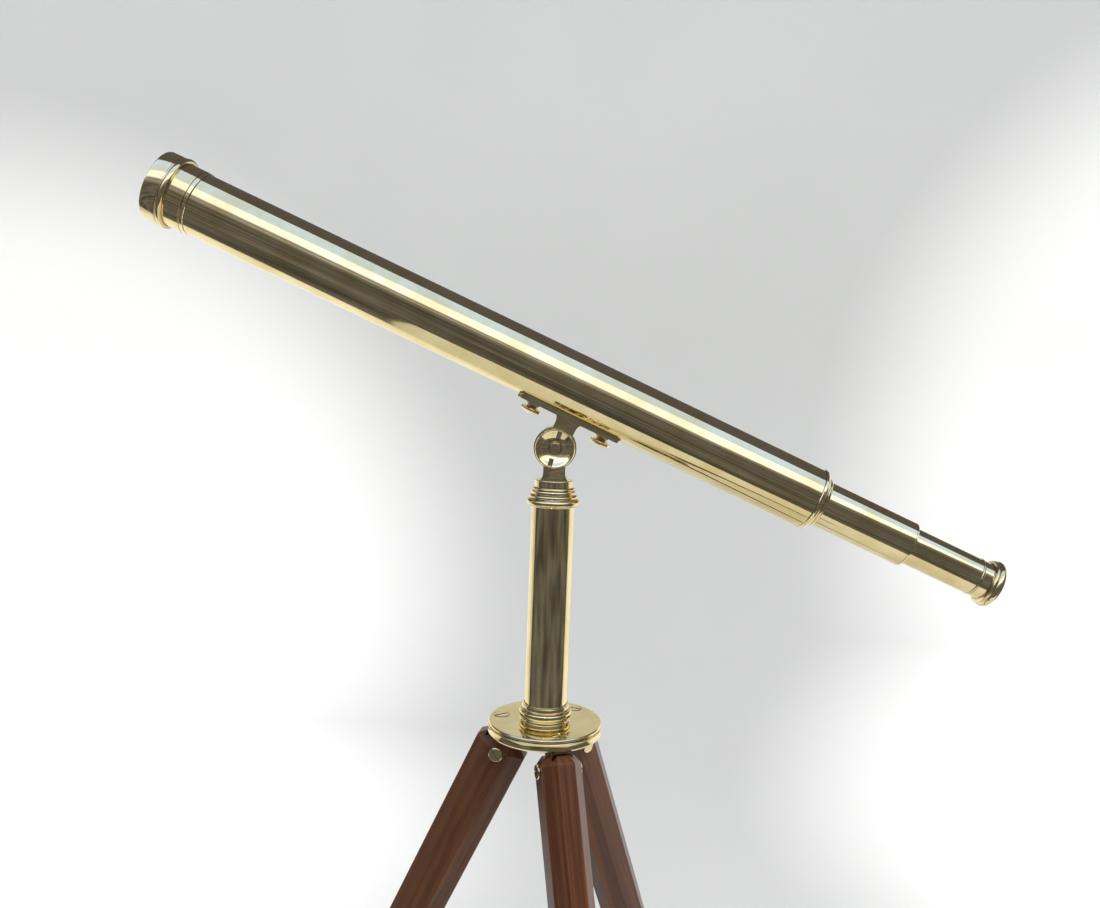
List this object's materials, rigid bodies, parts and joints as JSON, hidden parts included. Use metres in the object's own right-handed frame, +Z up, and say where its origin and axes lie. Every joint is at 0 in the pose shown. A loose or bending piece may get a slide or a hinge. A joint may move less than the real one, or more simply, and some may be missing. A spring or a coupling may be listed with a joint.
{
  "type": "telescope on tripod stand",
  "caption": "Brass draw telescope with slip-on lens cap on a swivelling, tilting pillar mount, standing on a three-legged wooden floor tripod.",
  "frame": {"origin": "on the floor, at the middle of the outline of the standing telescope seen from above", "axes": "+Z up; +X towards the eyepiece side of the telescope; the tilt axis lies along Y"},
  "size_m": [0.8802, 0.8092, 1.4603],
  "materials": {
    "brass": "polished and lacquered",
    "dark_brass": "as machined, darkened",
    "blackened": "matt optical black",
    "steel": "satin",
    "glass": "polished",
    "washer_leather": "compressed leather",
    "wood": "dark reddish brown, satin varnish",
    "rubber": "matt"
  },
  "bodies": {
    "tripod_top": {"tripod_plate": "brass", "pillar_collar": "brass", "plate_screw_1": "brass", "plate_screw_2": "brass", "plate_screw_3": "brass", "hinge_lug_1": "dark_brass", "hinge_lug_2": "dark_brass", "hinge_lug_3": "dark_brass"},
    "pillar": {"pillar_head": "brass", "pillar_tube": "brass", "pillar_foot_plug": "dark_brass", "pillar_tie_rod": "steel", "tie_rod_washer": "steel", "tie_rod_nut": "steel", "tilt_bolt": "brass", "tilt_washer_front": "washer_leather", "tilt_washer_rear": "washer_leather"},
    "tilt_nut": {"tilt_nut": "brass"},
    "barrel": {"main_barrel": "brass", "barrel_screw_strip": "dark_brass", "barrel_light_stop": "blackened", "barrel_end_ring": "brass", "objective_cell": "brass", "objective_flint_lens": "glass", "objective_crown_lens": "glass", "objective_retaining_ring": "dark_brass", "cradle": "brass"},
    "thumbscrew_front": {"thumbscrew_front": "brass"},
    "thumbscrew_rear": {"thumbscrew_rear": "brass"},
    "objective_cap": {"objective_cap": "brass"},
    "draw_1": {"draw_tube_1": "brass", "draw_tube_1_stop_ring": "dark_brass", "draw_tube_1_end_bush": "brass"},
    "draw_2": {"draw_tube_2": "brass", "draw_tube_2_stop_ring": "dark_brass", "erector_tube": "dark_brass", "erector_front_lens": "glass", "erector_rear_lens": "glass", "erector_light_stop": "blackened", "eyepiece_body": "brass", "field_lens": "glass", "eye_lens": "glass", "eye_cap": "brass"},
    "leg_1": {"leg_1": "wood", "leg_pivot_screw_1": "brass", "leg_pivot_nut_1": "brass", "foot_ferrule_1": "brass", "foot_tip_1": "rubber"},
    "leg_2": {"leg_2": "wood", "leg_pivot_screw_2": "brass", "leg_pivot_nut_2": "brass", "foot_ferrule_2": "brass", "foot_tip_2": "rubber"},
    "leg_3": {"leg_3": "wood", "leg_pivot_screw_3": "brass", "leg_pivot_nut_3": "brass", "foot_ferrule_3": "brass", "foot_tip_3": "rubber"}
  },
  "joints": [
    {"name": "pillar_swivel", "type": "hinge", "parent": "tripod_top", "child": "pillar", "pos_m": [0.02515, 0.03991, 0.95], "axis": [0, 0, 1], "continuous": true},
    {"name": "telescope_tilt", "type": "hinge", "parent": "pillar", "child": "barrel", "pos_m": [0.02515, 0.03991, 1.208], "axis": [0, 1, 0], "range_deg": [-50, 35]},
    {"name": "tilt_nut_turn", "type": "hinge", "parent": "pillar", "child": "tilt_nut", "pos_m": [0.02515, 0.03991, 1.208], "axis": [0, -1, 0], "range_deg": [0, 360]},
    {"name": "thumbscrew_front_turn", "type": "hinge", "parent": "barrel", "child": "thumbscrew_front", "pos_m": [0.00296, 0.03991, 1.24484], "axis": [-0.3971, 0, -0.9178], "range_deg": [0, 720]},
    {"name": "thumbscrew_rear_turn", "type": "hinge", "parent": "barrel", "child": "thumbscrew_rear", "pos_m": [0.0672, 0.03991, 1.21704], "axis": [-0.3971, 0, -0.9178], "range_deg": [0, 720]},
    {"name": "objective_cap_pull", "type": "slide", "parent": "barrel", "child": "objective_cap", "axis": [-0.9178, 0, 0.3971], "range_m": [0, 0.06]},
    {"name": "draw_tube_1_slide", "type": "slide", "parent": "barrel", "child": "draw_1", "axis": [0.9178, 0, -0.3971], "range_m": [-0.087, 0.05]},
    {"name": "draw_tube_2_slide", "type": "slide", "parent": "draw_1", "child": "draw_2", "axis": [0.9178, 0, -0.3971], "range_m": [-0.066, 0.038]},
    {"name": "leg_1_fold", "type": "hinge", "parent": "tripod_top", "child": "leg_1", "pos_m": [-0.01621, 0.0472, 0.918], "axis": [-0.1736, -0.9848, 0], "range_deg": [0, 24.5]},
    {"name": "leg_2_fold", "type": "hinge", "parent": "tripod_top", "child": "leg_2", "pos_m": [0.03952, 0.00044, 0.918], "axis": [0.9397, 0.342, 0], "range_deg": [0, 24.5]},
    {"name": "leg_3_fold", "type": "hinge", "parent": "tripod_top", "child": "leg_3", "pos_m": [0.05215, 0.07208, 0.918], "axis": [-0.766, 0.6428, 0], "range_deg": [0, 24.5]}
  ]
}
